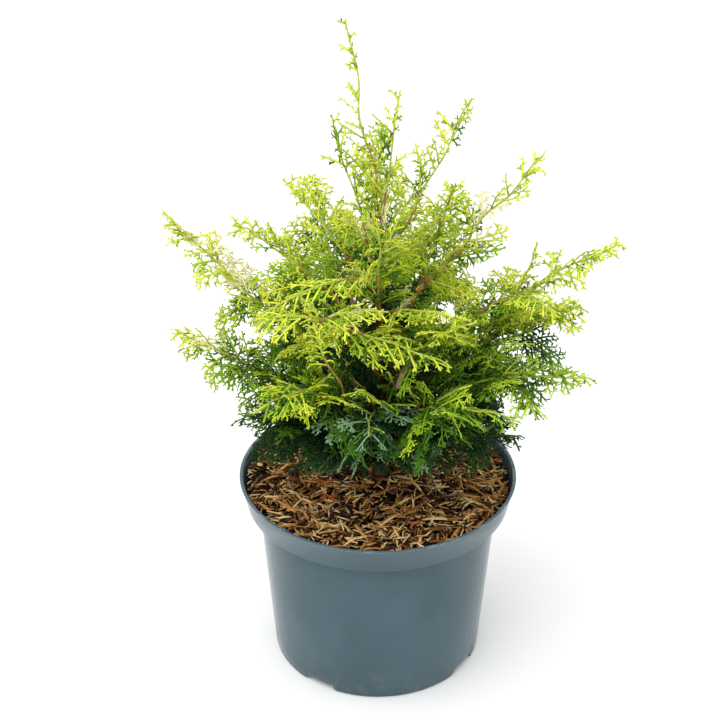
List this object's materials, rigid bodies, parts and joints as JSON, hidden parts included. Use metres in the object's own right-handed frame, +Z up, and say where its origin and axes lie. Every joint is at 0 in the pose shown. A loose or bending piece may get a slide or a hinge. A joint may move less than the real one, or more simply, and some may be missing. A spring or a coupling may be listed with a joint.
{
  "type": "dwarf hinoki cypress in a nursery pot",
  "caption": "Small bushy evergreen shrub with flat scale-leaved sprays on steep boughs, growing from bark mulch in a round collared plastic pot.",
  "frame": {"origin": "middle of the flat underside of the pot, where it stands", "axes": "+Z up along the trunk; +X to the right and +Y away, seen from the side that the widest boughs are spread across"},
  "size_m": [0.3649, 0.272, 0.5621],
  "materials": {
    "pot_plastic": "satin",
    "potting_mix": "matt, crumbly",
    "bark_mulch": "matt, shredded",
    "bark": "matt, fibrous",
    "foliage_low": "satin",
    "foliage_middle": "satin",
    "foliage_top": "satin"
  },
  "bodies": {
    "root": {"pot": "pot_plastic", "soil": "potting_mix", "mulch": "bark_mulch", "trunk": "bark", "bough_low_1": "bark", "bough_low_2": "bark", "bough_low_3": "bark", "bough_low_4": "bark", "bough_low_5": "bark", "bough_low_6": "bark", "bough_low_7": "bark", "bough_low_8": "bark", "bough_middle_1": "bark", "bough_middle_2": "bark", "bough_middle_3": "bark", "bough_middle_4": "bark", "bough_middle_5": "bark", "bough_middle_6": "bark", "bough_skirt_1": "bark", "bough_skirt_2": "bark", "bough_skirt_3": "bark", "bough_skirt_4": "bark", "bough_skirt_5": "bark", "bough_skirt_6": "bark", "bough_skirt_7": "bark", "bough_upper_1": "bark", "bough_upper_2": "bark", "bough_upper_3": "bark", "bough_upper_4": "bark", "foliage_crown_1": "foliage_top", "foliage_crown_2": "foliage_top", "foliage_crown_3": "foliage_top", "foliage_crown_4": "foliage_top", "foliage_leader": "foliage_top", "foliage_low_1": "foliage_middle", "foliage_low_2": "foliage_middle", "foliage_low_3": "foliage_middle", "foliage_low_4": "foliage_middle", "foliage_low_5": "foliage_middle", "foliage_low_6": "foliage_middle", "foliage_low_7": "foliage_middle", "foliage_low_8": "foliage_middle", "foliage_middle_1": "foliage_middle", "foliage_middle_2": "foliage_middle", "foliage_middle_3": "foliage_middle", "foliage_middle_4": "foliage_middle", "foliage_middle_5": "foliage_middle", "foliage_middle_6": "foliage_middle", "foliage_skirt_1": "foliage_low", "foliage_skirt_2": "foliage_low", "foliage_skirt_3": "foliage_low", "foliage_skirt_4": "foliage_low", "foliage_skirt_5": "foliage_low", "foliage_skirt_6": "foliage_low", "foliage_skirt_7": "foliage_low", "foliage_upper_1": "foliage_top", "foliage_upper_2": "foliage_top", "foliage_upper_3": "foliage_top", "foliage_upper_4": "foliage_top"}
  },
  "joints": []
}
